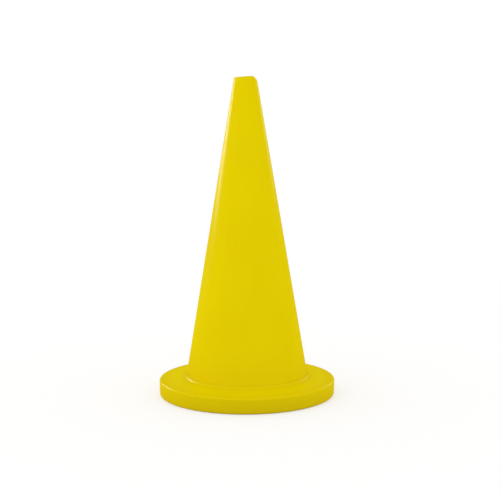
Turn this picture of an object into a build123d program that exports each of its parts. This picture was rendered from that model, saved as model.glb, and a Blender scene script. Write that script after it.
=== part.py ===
"""Sports marker cone: a hollow tapered body locked into a round weighted base.

The cone comes up through the base's collar from below, a flange on its foot stops under the base's top,
and a snapped-in ring plate closes the base, holds the foot and carries the ballast ring.
Millimetres, +Z up, origin on the ground at the middle of the base.
"""
import os
from math import atan, cos, degrees

from build123d import *

# Overall form
height = 500.0            # ground to the highest point of the trimmed top
base_diameter = 277.0     # at the rim's upper edge, before rounding
base_ledge = 42.0         # width of the base's top around the cone, measured at the height of the rim
foot_diameter = base_diameter - 2 * base_ledge
rim_height = 25.0         # ground to the edge of the base's top, before rounding
base_crown = 4.0          # rise of the base's top from its edge to the foot of the cone
top_diameter = 34.5       # outside of the cone at its top

# Cone body
cone_wall = 2.5           # square to the sloping side
socket_diameter = 25.5    # neck bored straight for a training pole
socket_depth = 14.0
trim_slant = 2.2          # how far the trimmed top falls from one side to the other
trim_round = 0.8
flange_reach = 5.5        # locking flange, beyond the cone's side
flange_thickness = 2.5
flange_round = 0.6

# Base shell
top_wall = 2.8
rim_draft = 0.9           # how far the rim draws in from its upper edge to the ground
rim_wall = 3.5            # at the ground
top_edge_round = 3.4
ground_edge_round = 3.3
inner_round = 2.0         # inside corner between the top and the rim
collar_height = 4.2       # collar hugging the cone, above the base's top
collar_lip = 0.6          # thickness of the collar at its upper edge
collar_round = 0.25
foot_fillet = 4.0         # hollow sweep from the base's top into the collar
rib_count = 12
rib_thickness = 2.2
rib_depth = 6.5           # below the top at the rim

# Base plate
plate_thickness = 2.5
skirt_height = 9.0        # upturned outer edge, from the ground
skirt_wall = 2.0
locator_height = 6.5      # ring around the foot of the cone, from the ground
locator_wall = 1.8
ledge = 1.6               # part of the cone's wall that stands on the plate
stack_relief = 6.0        # width of the bevel that clears the collar of a cone stacked below
relief_land = 0.8         # height left square at the plate's inner edge
plate_round = 0.5
snap_radius = 0.9         # bead on the skirt, and the groove that it snaps into
snap_inset = 2.4          # bead centre, below the top of the skirt

# Ballast ring
ballast_round = 1.5

# Clearances
seat_gap = 0.15           # snug seats and snaps
loose_gap = 0.3           # around the ballast and the flange

base_r = base_diameter / 2
foot_r = foot_diameter / 2
top_r = top_diameter / 2
socket_r = socket_diameter / 2
taper = (foot_r - top_r) / (height - rim_height)
crown_slope = base_crown / base_ledge
wall_across = cone_wall / cos(atan(taper))


def cone_radius(z):
    """Outside radius of the cone at height z."""
    return foot_r - taper * (z - rim_height)


def top_level(r):
    """Height of the base's top at radius r."""
    return rim_height + crown_slope * (base_r - r)


def corner(offset, drop):
    """Where a line `offset` outside the cone's side meets the base's top lowered by `drop`."""
    r = (foot_r + offset - taper * (crown_slope * base_r - drop)) / (1 - taper * crown_slope)
    return r, top_level(r) - drop


# Levels and radii that several pieces share
ground_r = base_r - rim_draft
rim_inner_r = ground_r - rim_wall
plate_outer_r = rim_inner_r - seat_gap
skirt_inner_r = plate_outer_r - skirt_wall
snap_level = skirt_height - snap_inset
foot_level = plate_thickness
foot_outer_r = cone_radius(foot_level)
foot_inner_r = foot_outer_r - wall_across
locator_inner_r = foot_outer_r + seat_gap
locator_outer_r = locator_inner_r + locator_wall
flange_drop = top_wall + seat_gap
flange_r = corner(0, flange_drop)[0] + flange_reach
clear_r = max(flange_r, locator_outer_r) + loose_gap
rib_bottom = rim_height - top_wall - rib_depth

# Cone body: thin tapered shell, straight pole socket in its neck, locking flange near its foot
socket_floor = height - socket_depth
neck_inner_r = cone_radius(socket_floor) - wall_across
throat_drop = (neck_inner_r - socket_r) / (1 - taper)
throat_level = socket_floor - throat_drop
flange_low = flange_drop + flange_thickness

with BuildPart() as cone_body:
    with BuildSketch(Plane.XZ):
        with BuildLine():
            FilletPolyline(
                (foot_outer_r, foot_level),
                corner(0, flange_low),
                (flange_r, top_level(flange_r) - flange_low),
                (flange_r, top_level(flange_r) - flange_drop),
                corner(0, flange_drop),
                (top_r, height),
                (socket_r, height),
                (socket_r, socket_floor),
                (cone_radius(throat_level) - wall_across, throat_level),
                (foot_inner_r, foot_level),
                radius=[0, flange_round, flange_round, flange_round, 0, 0, 0, 0, cone_wall, 0],
                close=True,
            )
        make_face()
    revolve(axis=Axis.Z)
    # the moulding's waste is trimmed off a little out of square
    trim_angle = degrees(atan(trim_slant / top_diameter))
    trim_plane = Plane((top_r, 0, height)).rotated((0, -trim_angle, 0))
    split(bisect_by=trim_plane, keep=Keep.BOTTOM)
    fillet(cone_body.faces().sort_by(Axis.Z)[-1].edges(), radius=trim_round)
cone_body.part.label = "cone_body"

# Base shell: crowned top, rounded rim, collar swept up around the cone, ribs and snap groove inside
collar_root = corner(seat_gap + collar_lip, 0)
collar_top = collar_root[1] + collar_height
seat_r = cone_radius(collar_top) + seat_gap
rib_outer_r = rim_inner_r + rim_wall / 2

with BuildPart() as base_shell:
    with BuildSketch(Plane.XZ):
        with BuildLine():
            FilletPolyline(
                (rim_inner_r, 0),
                (ground_r, 0),
                (base_r, rim_height),
                collar_root,
                (seat_r + collar_lip, collar_top),
                (seat_r, collar_top),
                corner(seat_gap, top_wall),
                (rim_inner_r, top_level(rim_inner_r) - top_wall),
                radius=[0, ground_edge_round, top_edge_round, foot_fillet, collar_round, 0, 0, inner_round],
                close=True,
            )
        make_face()
    revolve(axis=Axis.Z)
    # ribs rise into the middle of the top and the rim, on one upright plane each
    with BuildSketch(*[Plane.XZ.rotated((0, 0, 360 * k / rib_count)) for k in range(rib_count)]):
        with BuildLine():
            Polyline(
                (clear_r, rib_bottom),
                (rib_outer_r, rib_bottom),
                (rib_outer_r, top_level(rib_outer_r) - top_wall / 2),
                (clear_r, top_level(clear_r) - top_wall / 2),
                close=True,
            )
        make_face()
    extrude(amount=rib_thickness / 2, both=True)
    with BuildSketch(Plane.XZ):
        with Locations((plate_outer_r, snap_level)):
            Circle(snap_radius + seat_gap)
    revolve(axis=Axis.Z, mode=Mode.SUBTRACT)
base_shell.part.label = "base_shell"

# Base plate: ring-shaped tray that snaps into the rim, with a ring around the foot of the cone
ledge_r = foot_outer_r - ledge

with BuildPart() as base_plate:
    with BuildSketch(Plane.XZ):
        with BuildLine():
            FilletPolyline(
                (ledge_r + stack_relief, 0),
                (plate_outer_r, 0),
                (plate_outer_r, skirt_height),
                (skirt_inner_r, skirt_height),
                (skirt_inner_r, plate_thickness),
                (locator_outer_r, plate_thickness),
                (locator_outer_r, locator_height),
                (locator_inner_r, locator_height),
                (locator_inner_r, plate_thickness),
                (ledge_r, plate_thickness),
                (ledge_r, plate_thickness - relief_land),
                radius=[0] + [plate_round] * 7 + [0, 0, 0],
                close=True,
            )
        make_face()
    revolve(axis=Axis.Z)
    with BuildSketch(Plane.XZ):
        with Locations((plate_outer_r, snap_level)):
            Circle(snap_radius)
    revolve(axis=Axis.Z)
base_plate.part.label = "base_plate"

# Ballast ring: one dense rubber ring lying in the plate's channel, held down by the shell's ribs
ballast_outer_r = skirt_inner_r - loose_gap
ballast_top = rib_bottom - loose_gap

with BuildPart() as ballast_ring:
    with BuildSketch(Plane.XZ):
        with BuildLine():
            FilletPolyline(
                (clear_r, plate_thickness),
                (ballast_outer_r, plate_thickness),
                (ballast_outer_r, ballast_top),
                (clear_r, ballast_top),
                radius=ballast_round,
                close=True,
            )
        make_face()
    revolve(axis=Axis.Z)
ballast_ring.part.label = "ballast_ring"

os.makedirs("parts", exist_ok=True)
export_step(cone_body.part, "parts/cone_body.step")
export_step(base_shell.part, "parts/base_shell.step")
export_step(base_plate.part, "parts/base_plate.step")
export_step(ballast_ring.part, "parts/ballast_ring.step")
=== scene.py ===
"""Looks of the sports marker cone: satin yellow mouldings on a white studio floor."""
import math

import bmesh
import bpy
from mathutils import Matrix, Vector, noise


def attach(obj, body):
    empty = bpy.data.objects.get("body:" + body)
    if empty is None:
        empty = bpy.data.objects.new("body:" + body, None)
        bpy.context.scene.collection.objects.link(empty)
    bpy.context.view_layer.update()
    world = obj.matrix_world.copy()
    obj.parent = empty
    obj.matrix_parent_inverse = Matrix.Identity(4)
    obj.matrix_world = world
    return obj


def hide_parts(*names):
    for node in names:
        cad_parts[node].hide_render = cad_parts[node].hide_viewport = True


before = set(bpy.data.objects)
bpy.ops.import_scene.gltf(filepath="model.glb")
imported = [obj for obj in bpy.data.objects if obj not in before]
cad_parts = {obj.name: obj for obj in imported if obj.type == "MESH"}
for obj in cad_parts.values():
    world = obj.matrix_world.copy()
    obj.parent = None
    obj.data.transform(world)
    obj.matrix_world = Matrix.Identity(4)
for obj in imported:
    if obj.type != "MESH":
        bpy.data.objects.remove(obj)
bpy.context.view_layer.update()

# Ballast ring
# One dense ring of moulded recycled rubber, lying loose in the channel of the base plate.
# It is closed in on all sides, so it keeps the solid's own shape and only gets its finish.
mm = 0.001
crumb_scale = 700.0       # crumbs of about 1.5 mm
crumb_depth = 0.3
rubber_black = (0.012, 0.012, 0.012, 1)
rubber_grey = (0.035, 0.034, 0.033, 1)


class Value:
    """A number socket; sums, differences and products of sockets and numbers add Math nodes."""

    def __init__(self, finish, socket):
        self.finish = finish
        self.socket = socket

    def math(self, operation, left, right):
        return self.finish.node("Math", {"operation": operation}, {0: left, 1: right})

    def __add__(self, other):
        return self.math("ADD", self, other)

    __radd__ = __add__

    def __mul__(self, other):
        return self.math("MULTIPLY", self, other)

    __rmul__ = __mul__

    def __sub__(self, other):
        return self.math("SUBTRACT", self, other)

    def __rsub__(self, other):
        return self.math("SUBTRACT", other, self)


class Finish:
    """A node tree under construction, for a material or the world."""

    def __init__(self, owner):
        owner.use_nodes = True
        self.owner = owner
        self.tree = owner.node_tree
        self.tree.nodes.clear()

    def node(self, kind, settings=None, sockets=None, out=0):
        """Adds a node with its settings, then its sockets' values or links, and gives one output."""
        made = self.tree.nodes.new("ShaderNode" + kind)
        for name, value in (settings or {}).items():
            if name == "stops":
                stops = made.color_ramp.elements
                while len(stops) < len(value):
                    stops.new(1.0)
                for stop, (place, colour) in zip(stops, value):
                    stop.position = place
                    stop.color = colour
            else:
                setattr(made, name, value)
        for key, value in (sockets or {}).items():
            if isinstance(value, Value):
                self.tree.links.new(value.socket, made.inputs[key])
            else:
                made.inputs[key].default_value = value
        if len(made.outputs):
            return Value(self, made.outputs[out])


rubber = Finish(bpy.data.materials.new("ballast_rubber"))
place = rubber.node("TexCoord", out="Object")
crumb = rubber.node("TexNoise", None, {"Vector": place, "Scale": crumb_scale, "Detail": 3.0})
rubber_stops = [(0.3, rubber_black), (0.75, rubber_grey)]
rubber_shader = rubber.node("BsdfPrincipled", None, {
    "Base Color": rubber.node("ValToRGB", {"stops": rubber_stops}, {"Fac": crumb}),
    "Roughness": 0.78 + 0.12 * crumb,
    "Normal": rubber.node("Bump", None, {"Strength": 0.5, "Distance": crumb_depth * mm, "Height": crumb}),
})
rubber.node("OutputMaterial", None, {"Surface": rubber_shader})

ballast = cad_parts["ballast_ring"]
ballast.data.materials.clear()
ballast.data.materials.append(rubber.owner)

# Base plate
# A ring-shaped tray moulded in the same yellow plastic. It snaps into the rim from below, carries the
# ballast, and its low inner ring holds the foot of the cone. Lengths of the pieces are in millimetres.
base_r = 138.5            # at the rim's upper edge, before rounding
base_ledge = 42.0         # width of the base's top around the cone
base_crown = 4.0          # rise of the base's top from its edge to the foot of the cone
rim_height = 25.0
rim_draft = 0.9           # how far the rim draws in towards the ground
rim_wall = 3.5
height = 500.0            # to the highest point of the trimmed top, before its edge is rounded
top_r = 17.25
foot_r = base_r - base_ledge
taper = (foot_r - top_r) / (height - rim_height)
seat_gap = 0.15           # snug seats and snaps

plate_thickness = 2.5
plate_round = 0.5
skirt_height = 9.0
skirt_wall = 2.0
locator_height = 6.5
locator_wall = 1.8
ledge = 1.6               # part of the cone's wall that stands on the plate
stack_relief = 6.0        # bevel that clears the collar of a cone stacked below
relief_land = 0.8
snap_radius = 0.9
snap_inset = 2.4          # bead centre, below the top of the skirt
snap_level = skirt_height - snap_inset

around = 288              # facets around each turned piece
round_steps = 8           # facets across a rounded edge
touching = 0.01           # points closer than this are one
long_side = 40.0          # a longer side gets rings in between
side_rings = 24
crisp_angle = 35          # degrees, from which an edge is shaded sharp

yellow_deep = (0.728, 0.568, 0.0, 1)
yellow_light = (0.762, 0.602, 0.0, 1)
# painted shade darkens the yellow towards this brown
painted_shade_brown = (0.4, 0.16, 0.01, 1)
grain_scale = 1600.0      # fine grain of the mould
peel_scale = 160.0        # shallow ripple of the cooled skin
cloud_scale = 11.0        # drift of the pigment
flow_scale = (70.0, 70.0, 5.0)   # streaks drawn out upwards
wall_shade_reach = 70.0         # painted shade up the cone's side from its foot
crease_shade_reach = 8.0        # painted shade in the hollow at the cone's foot
crease_shade = 0.15
edge_shade_reach = 26.0         # thin painted shade, from this far inside the base's edge outwards
edge_shade_land = 2.0           # and full from here
edge_shade = 0.13
rim_shade = 0.12          # more painted shade down the rim, darkest at the ground
skin_roughness = 0.44     # of the moulded skin, and of its thin sheen
coat_roughness = 0.22


def cone_radius(z):
    """Outside radius of the cone at height z."""
    return foot_r - taper * (z - rim_height)


def turned(corners):
    """A closed ring turned about Z from corners of (radius, height, rounding)."""
    shape = bmesh.new()
    points = [shape.verts.new((r * mm, 0, z * mm)) for r, z, _ in corners]
    places = [Vector((r, z)) for r, z, _ in corners]
    shape.faces.new(points)
    for k, (point, (_, _, rounding)) in enumerate(zip(points, corners)):
        if rounding:
            back = places[k - 1] - places[k]
            ahead = places[(k + 1) % len(places)] - places[k]
            reach = rounding / math.tan(back.angle(ahead) / 2)
            bmesh.ops.bevel(shape, geom=[point], offset=reach * mm, offset_type="OFFSET",
                            segments=round_steps, profile=0.5, affect="VERTICES", material=-1)
    bmesh.ops.delete(shape, geom=shape.faces[:], context="FACES_ONLY")
    bmesh.ops.remove_doubles(shape, verts=shape.verts[:], dist=touching * mm)
    long_sides = [edge for edge in shape.edges if edge.calc_length() > long_side * mm]
    if long_sides:
        bmesh.ops.subdivide_edges(shape, edges=long_sides, cuts=side_rings)
    bmesh.ops.spin(shape, geom=shape.verts[:] + shape.edges[:], cent=(0, 0, 0), axis=(0, 0, 1),
                   angle=math.tau, steps=around, use_merge=True)
    bmesh.ops.recalc_face_normals(shape, faces=shape.faces[:])
    return shape


def piece(name, shape, finish, node):
    """Makes the shape an object that stands for a solid and rides with it."""
    mesh = bpy.data.meshes.new(name)
    shape.to_mesh(mesh)
    shape.free()
    mesh.shade_smooth()
    mesh.set_sharp_from_angle(angle=math.radians(crisp_angle))
    mesh.materials.append(finish)
    made = bpy.data.objects.new(name, mesh)
    bpy.context.scene.collection.objects.link(made)
    made.modifiers.new("even_shading", "WEIGHTED_NORMAL").keep_sharp = True
    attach(made, "root")
    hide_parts(node)


def moulded(name, deep, light, skin_gloss, grain_depth, wall_shade):
    """Yellow plastic: mould grain, flow streaks, drifting pigment, and painted shade up from the cone's
    foot, in the crease, towards the base's edge and down the rim.
    """
    finish = Finish(bpy.data.materials.new(name))
    place = finish.node("TexCoord", out="Object")

    def cloudy(scale, detail=2.0, vector=place):
        return finish.node("TexNoise", None, {"Vector": vector, "Scale": scale, "Detail": detail})

    def ramp(value, start, end, first, last):
        return finish.node("MapRange", {"interpolation_type": "SMOOTHSTEP"},
                           {"Value": value, "From Min": start * mm, "From Max": end * mm,
                            "To Min": first, "To Max": last})

    def length(vector):
        return finish.node("VectorMath", {"operation": "LENGTH"}, {0: vector}, out="Value")

    grain = cloudy(grain_scale)
    peel = cloudy(peel_scale, 1.0)
    cloud = cloudy(cloud_scale, 3.0)
    flow = cloudy(1.0, vector=finish.node("Mapping", None, {"Vector": place, "Scale": flow_scale}))
    pigment = finish.node("ValToRGB", {"stops": [(0.3, deep), (0.7, light)]},
                          {"Fac": 0.7 * cloud + 0.3 * flow})

    level = finish.node("SeparateXYZ", None, {0: place}, out="Z")
    outward = length(finish.node("VectorMath", {"operation": "MULTIPLY"}, {0: place, 1: (1, 1, 0)}))
    crease_level = rim_height + base_crown
    from_crease = length(finish.node("CombineXYZ", None,
                                     {0: outward - foot_r * mm, 1: level - crease_level * mm}))
    # painted shade: darker up from the cone's foot, in the crease, towards the base's edge and down the rim
    painted_shade = (ramp(from_crease, 0.0, wall_shade_reach, wall_shade, 0.0)
            + ramp(from_crease, 0.0, crease_shade_reach, crease_shade, 0.0)
            + ramp(outward, base_r - edge_shade_reach, base_r - edge_shade_land, 0.0, edge_shade)
            + ramp(level, 0.0, rim_height, rim_shade, 0.0))
    # the Mix node's colours are its sockets 6 and 7, and its colour result is output 2
    shaded_colour = finish.node("Mix", {"data_type": "RGBA"},
                         {0: painted_shade * (0.7 + 0.6 * cloud), 6: pigment, 7: painted_shade_brown}, out=2)

    relief = grain_depth * mm * (grain + 0.6 * peel)
    shader = finish.node("BsdfPrincipled", None, {
        "Base Color": shaded_colour,
        "Roughness": skin_roughness + 0.08 * flow + 0.04 * grain,
        "Specular IOR Level": 0.0,
        "Coat Weight": skin_gloss * (0.6 + 0.8 * flow),
        "Coat Roughness": coat_roughness,
        "Normal": finish.node("Bump", None, {"Strength": 1.0, "Distance": 1.0, "Height": relief}),
    })
    finish.node("OutputMaterial", None, {"Surface": shader})
    return finish.owner


ground_r = base_r - rim_draft
rim_inner_r = ground_r - rim_wall
plate_outer_r = rim_inner_r - seat_gap
skirt_inner_r = plate_outer_r - skirt_wall
foot_outer_r = cone_radius(plate_thickness)
locator_inner_r = foot_outer_r + seat_gap
locator_outer_r = locator_inner_r + locator_wall
ledge_r = foot_outer_r - ledge
plate_shape = turned([
    (ledge_r + stack_relief, 0, 0),
    (plate_outer_r, 0, plate_round),
    (plate_outer_r, snap_level - snap_radius, 0),
    (plate_outer_r + snap_radius, snap_level - snap_radius, snap_radius),
    (plate_outer_r + snap_radius, snap_level + snap_radius, snap_radius),
    (plate_outer_r, snap_level + snap_radius, 0),
    (plate_outer_r, skirt_height, plate_round),
    (skirt_inner_r, skirt_height, plate_round),
    (skirt_inner_r, plate_thickness, plate_round),
    (locator_outer_r, plate_thickness, plate_round),
    (locator_outer_r, locator_height, plate_round),
    (locator_inner_r, locator_height, plate_round),
    (locator_inner_r, plate_thickness, 0),
    (ledge_r, plate_thickness, 0),
    (ledge_r, plate_thickness - relief_land, 0),
])
plate_finish = moulded("plate_plastic", yellow_deep, yellow_light,
                       skin_gloss=0.02, grain_depth=0.05, wall_shade=0.0)
piece("base_tray", plate_shape, plate_finish, "base_plate")

# Base shell
# The round cover of the base, injection moulded: crowned top, rounded rim, and a collar that sweeps up and
# hugs the cone. Twelve ribs under its top keep the ballast down, and a groove in the rim takes the tray.
top_wall = 2.8
top_edge_round = 3.4
ground_edge_round = 3.3
inner_round = 2.0
collar_height = 4.2
collar_lip = 0.6
collar_round = 0.25
foot_fillet = 4.0
rib_count = 12
rib_thickness = 2.2
rib_depth = 6.5           # below the top at the rim
loose_gap = 0.3
flange_reach = 5.5        # of the flange on the cone's foot, under this top
flange_drop = top_wall + seat_gap
crown_slope = base_crown / base_ledge
cover_deep = (0.728, 0.588, 0.0, 1)    # its batch of plastic is a shade greener
cover_light = (0.762, 0.622, 0.0, 1)


def top_level(r):
    """Height of the base's top at radius r."""
    return rim_height + crown_slope * (base_r - r)


def meeting(offset, drop):
    """Where a line `offset` outside the cone's side meets the base's top lowered by `drop`."""
    r = (foot_r + offset - taper * (crown_slope * base_r - drop)) / (1 - taper * crown_slope)
    return r, top_level(r) - drop


def joined(shape, added):
    """One closed shape from two that overlap; the objects that hold them are removed again."""
    halves = []
    for half in (shape, added):
        mesh = bpy.data.meshes.new("half")
        half.to_mesh(mesh)
        half.free()
        halves.append(bpy.data.objects.new("half", mesh))
        bpy.context.scene.collection.objects.link(halves[-1])
    join = halves[0].modifiers.new("join", "BOOLEAN")
    join.operation = "UNION"
    join.solver = "EXACT"
    join.object = halves[1]
    whole = bmesh.new()
    whole.from_object(halves[0], bpy.context.evaluated_depsgraph_get())
    for half in halves:
        bpy.data.meshes.remove(half.data)
    return whole


collar_root = meeting(seat_gap + collar_lip, 0)
collar_top = collar_root[1] + collar_height
seat_r = cone_radius(collar_top) + seat_gap
groove_radius = snap_radius + seat_gap
groove_r = plate_outer_r + groove_radius
groove_reach = groove_r - rim_inner_r
shell_shape = turned([
    (rim_inner_r, 0, 0),
    (ground_r, 0, ground_edge_round),
    (base_r, rim_height, top_edge_round),
    (*collar_root, foot_fillet),
    (seat_r + collar_lip, collar_top, collar_round),
    (seat_r, collar_top, 0),
    (*meeting(seat_gap, top_wall), 0),
    (rim_inner_r, top_level(rim_inner_r) - top_wall, inner_round),
    (rim_inner_r, snap_level + groove_radius, 0),
    (groove_r, snap_level + groove_radius, groove_reach),
    (groove_r, snap_level - groove_radius, groove_reach),
    (rim_inner_r, snap_level - groove_radius, 0),
])

# each rib is rooted in the middle of the top and of the rim
flange_r = meeting(0, flange_drop)[0] + flange_reach
rib_inner_r = max(flange_r, locator_outer_r) + loose_gap
rib_outer_r = rim_inner_r + rim_wall / 2
rib_bottom = rim_height - top_wall - rib_depth
rib_corners = [
    (rib_inner_r, rib_bottom),
    (rib_outer_r, rib_bottom),
    (rib_outer_r, top_level(rib_outer_r) - top_wall / 2),
    (rib_inner_r, top_level(rib_inner_r) - top_wall / 2),
]
ribs = bmesh.new()
for k in range(rib_count):
    near = [ribs.verts.new((r * mm, -rib_thickness / 2 * mm, z * mm)) for r, z in rib_corners]
    side = ribs.faces.new(near)
    grown = bmesh.ops.extrude_face_region(ribs, geom=[side], use_keep_orig=True)["geom"]
    far = [part for part in grown if isinstance(part, bmesh.types.BMVert)]
    bmesh.ops.translate(ribs, verts=far, vec=(0, rib_thickness * mm, 0))
    bmesh.ops.rotate(ribs, verts=near + far, cent=(0, 0, 0),
                     matrix=Matrix.Rotation(k * math.tau / rib_count, 3, "Z"))
bmesh.ops.recalc_face_normals(ribs, faces=ribs.faces[:])
shell_shape = joined(shell_shape, ribs)
shell_finish = moulded("yellow_plastic", cover_deep, cover_light,
                       skin_gloss=0.02, grain_depth=0.035, wall_shade=0.0)
piece("base_cover", shell_shape, shell_finish, "base_shell")

# Cone body
# The thin tapered body, moulded in one and trimmed open at the top with a knife, a little out of square.
# Its neck is bored straight for a pole, and a flange near its foot stops under the base's top.
cone_wall = 2.5           # square to the sloping side
wall_across = cone_wall / math.cos(math.atan(taper))
socket_r = 12.75
socket_depth = 14.0
flange_thickness = 2.5
flange_round = 0.6
trim_slant = 2.2          # how far the trimmed top falls from one side to the other
trim_round = 1.5          # of the cut's edge, rubbed down a little
trim_steps = 4            # facets across the rounded edge of the cut
corner_cut = 5.0          # second stroke of the knife, across the high corner at 45 degrees
cut_unevenness = 0.07
cut_wave = 7.0            # length of the unevenness along the cut
sliver = 0.1              # points of the cut closer than this are one

flange_low = flange_drop + flange_thickness
socket_floor = height - socket_depth
neck_inner_r = cone_radius(socket_floor) - wall_across
throat_level = socket_floor - (neck_inner_r - socket_r) / (1 - taper)
cone_shape = turned([
    (foot_outer_r, plate_thickness, 0),
    (*meeting(0, flange_low), flange_round),
    (flange_r, top_level(flange_r) - flange_low, flange_round),
    (flange_r, top_level(flange_r) - flange_drop, flange_round),
    (*meeting(0, flange_drop), 0),
    (top_r, height, 0),
    (socket_r, height, 0),
    (socket_r, socket_floor, 0),
    (cone_radius(throat_level) - wall_across, throat_level, cone_wall),
    (foot_outer_r - wall_across, plate_thickness, 0),
])

slope = trim_slant / (2 * top_r)
cut_at = Vector((top_r - corner_cut, 0, height - 2 * cut_unevenness)) * mm
for knife_normal in ((-slope, 0, 1), (1, 0, 1)):
    everything = cone_shape.verts[:] + cone_shape.edges[:] + cone_shape.faces[:]
    bmesh.ops.bisect_plane(cone_shape, geom=everything, plane_co=cut_at, plane_no=knife_normal,
                           clear_outer=True)
cut_verts = [vert for vert in cone_shape.verts if vert.is_boundary]
bmesh.ops.remove_doubles(cone_shape, verts=cut_verts, dist=sliver * mm)
rim_edges = [edge for edge in cone_shape.edges if edge.is_boundary]
for vert in {vert for edge in rim_edges for vert in edge.verts}:
    vert.co.z += cut_unevenness * noise.noise(vert.co / (cut_wave * mm)) * mm
bmesh.ops.bridge_loops(cone_shape, edges=rim_edges)
bmesh.ops.bevel(cone_shape, geom=rim_edges, offset=trim_round * mm, offset_type="OFFSET",
                segments=trim_steps, profile=0.5, affect="EDGES", material=-1)
bmesh.ops.recalc_face_normals(cone_shape, faces=cone_shape.faces[:])
# the cone gets painted shade up its side from the foot
cone_finish = moulded("cone_plastic", yellow_deep, yellow_light,
                      skin_gloss=0.02, grain_depth=0.035, wall_shade=0.08)
piece("cone", cone_shape, cone_finish, "cone_body")

# Studio
# A white floor that keeps the soft shadow at the base, even light from all round, and two soft boxes behind
# the object that only draw the bright lines along its edges. Lengths are in metres from here on.
floor_r = 40.0
floor_drop = 0.0003       # so that the floor and the underside don't share a plane
white = (1, 1, 1, 1)
paper_white = (0.96, 0.96, 0.96, 1)
fade_start = 0.25         # the paper fades into plain white between these distances
fade_end = 1.2
fade_near = 0.5           # share of plain white close to the object
front_tone = 0.55         # light thrown back by the floor: close in front, close beside and behind, far off; darker in front as painted shadow, lighter beside and behind as painted light
side_tone = 0.92
far_tone = 0.75
side_lean = 0.03          # painted light: a little more on the left than on the right
front_end = -0.2          # backward part of the heading at which the side tone is reached
near_end = 0.2            # the close tones go over into the far one between these distances
far_start = 0.6
low_light = 1.435         # light from near the horizon and from overhead
high_light = 0.87
low_end = 0.2             # the one goes over into the other between these upward parts of the direction
high_start = 0.9
left_share = 0.18         # how much more of the high light comes from the left

floor_mesh = bpy.data.meshes.new("floor")
floor_shape = bmesh.new()
bmesh.ops.create_circle(floor_shape, cap_ends=True, segments=96, radius=floor_r)
floor_shape.to_mesh(floor_mesh)
floor_shape.free()
floor = bpy.data.objects.new("floor", floor_mesh)
floor.location.z = -floor_drop
bpy.context.scene.collection.objects.link(floor)


def shown(finish):
    """1 for what the camera sees directly, mirrored or through glass, 0 for light that falls on things."""
    straight, mirrored, through = (finish.node("LightPath", out=ray) for ray in
                                   ("Is Camera Ray", "Is Glossy Ray", "Is Transmission Ray"))
    either = finish.node("Math", {"operation": "MAXIMUM"}, {0: straight, 1: mirrored})
    return finish.node("Math", {"operation": "MAXIMUM"}, {0: either, 1: through})


paper = Finish(bpy.data.materials.new("floor_paper"))
place = paper.node("TexCoord", out="Object")
away = paper.node("VectorMath", {"operation": "LENGTH"}, {0: place}, out="Value")
fade = paper.node("MapRange", {"interpolation_type": "SMOOTHSTEP"},
                  {"Value": away, "From Min": fade_start, "From Max": fade_end,
                   "To Min": fade_near, "To Max": 1.0})
heading = paper.node("VectorMath", {"operation": "NORMALIZE"}, {0: place})
rightward = paper.node("SeparateXYZ", None, {0: heading}, out="X")
backward = paper.node("SeparateXYZ", None, {0: heading}, out="Y")
# painted shadow on the floor in front of the object and painted light beside and behind it, in the light
# the floor throws back
near_tone = paper.node("MapRange", None,
                       {"Value": backward, "From Min": -1.0, "From Max": front_end,
                        "To Min": front_tone, "To Max": side_tone - side_lean * rightward})
tone = paper.node("MapRange", None, {"Value": away, "From Min": near_end, "From Max": far_start,
                                     "To Min": near_tone, "To Max": far_tone})
grey_paper = paper.node("BsdfDiffuse", None, {"Color": tone})
white_paper = paper.node("BsdfDiffuse", None, {"Color": paper_white})
glow = paper.node("Emission", None, {"Color": white, "Strength": 1.0})
backdrop = paper.node("MixShader", None, {0: fade, 1: white_paper, 2: glow})
paper_shader = paper.node("MixShader", None, {0: shown(paper), 1: grey_paper, 2: backdrop})
paper.node("OutputMaterial", None, {"Surface": paper_shader})
floor_mesh.materials.append(paper.owner)

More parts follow.
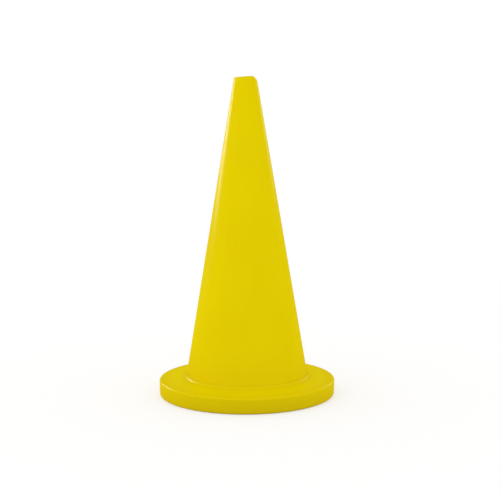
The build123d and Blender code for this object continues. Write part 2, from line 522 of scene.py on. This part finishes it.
world = bpy.data.worlds.new("studio")
bpy.context.scene.world = world
sky = Finish(world)
direction = sky.node("TexCoord", out="Generated")
sideways = sky.node("SeparateXYZ", None, {0: direction}, out="X")
upward = sky.node("SeparateXYZ", None, {0: direction}, out="Z")
around_light = sky.node("MapRange", {"interpolation_type": "SMOOTHSTEP"},
                        {"Value": upward, "From Min": low_end, "From Max": high_start,
                         "To Min": low_light, "To Max": high_light})
from_left = 1.0 - left_share * (sideways * upward)
soft_light = sky.node("Background", None, {"Color": white, "Strength": around_light * from_left})
white_wall = sky.node("Background", None, {"Color": white, "Strength": 1.0})
sky_shader = sky.node("MixShader", None, {0: shown(sky), 1: soft_light, 2: white_wall})
sky.node("OutputWorld", None, {"Surface": sky_shader})


def edge_light(name, bearing, distance, width, tall, level, power):
    """A soft box that only shows as a reflection, `bearing` degrees round from the camera's side."""
    lamp = bpy.data.lights.new(name, "AREA")
    lamp.shape = "RECTANGLE"
    lamp.size = width
    lamp.size_y = tall
    lamp.energy = power
    box = bpy.data.objects.new(name, lamp)
    turn = math.radians(bearing)
    box.location = (distance * math.sin(turn), -distance * math.cos(turn), level)
    box.rotation_euler = (math.pi / 2, 0, turn)
    box.visible_camera = False
    box.visible_diffuse = False
    bpy.context.scene.collection.objects.link(box)


edge_light("left_box", bearing=-131, distance=1.8, width=1.0, tall=0.6, level=0.65, power=160.0)
edge_light("right_box", bearing=140, distance=1.8, width=0.8, tall=0.6, level=0.65, power=33.0)

# Camera
# It stands where the photograph was taken from: a little above the top of the cone, 2.3 m away.
# Its lens is worked out from the photograph's frame of 500 pixels.
camera_distance = 2.300
camera_height = 0.5709
camera_offset = 0.00587
pitch = math.radians(8.45)
roll = math.radians(-0.29)
focal_pixels = 1485.2
frame_pixels = 500.0
lens_data = bpy.data.cameras.new("camera")
lens_data.sensor_width = 36.0
lens_data.lens = focal_pixels / frame_pixels * lens_data.sensor_width
camera = bpy.data.objects.new("camera", lens_data)
bpy.context.scene.collection.objects.link(camera)
camera.matrix_world = (Matrix.Translation((camera_offset, -camera_distance, camera_height))
                       @ Matrix.Rotation(math.pi / 2 - pitch, 4, "X") @ Matrix.Rotation(roll, 4, "Z"))
bpy.context.scene.camera = camera
bpy.context.scene.view_settings.view_transform = "Standard"
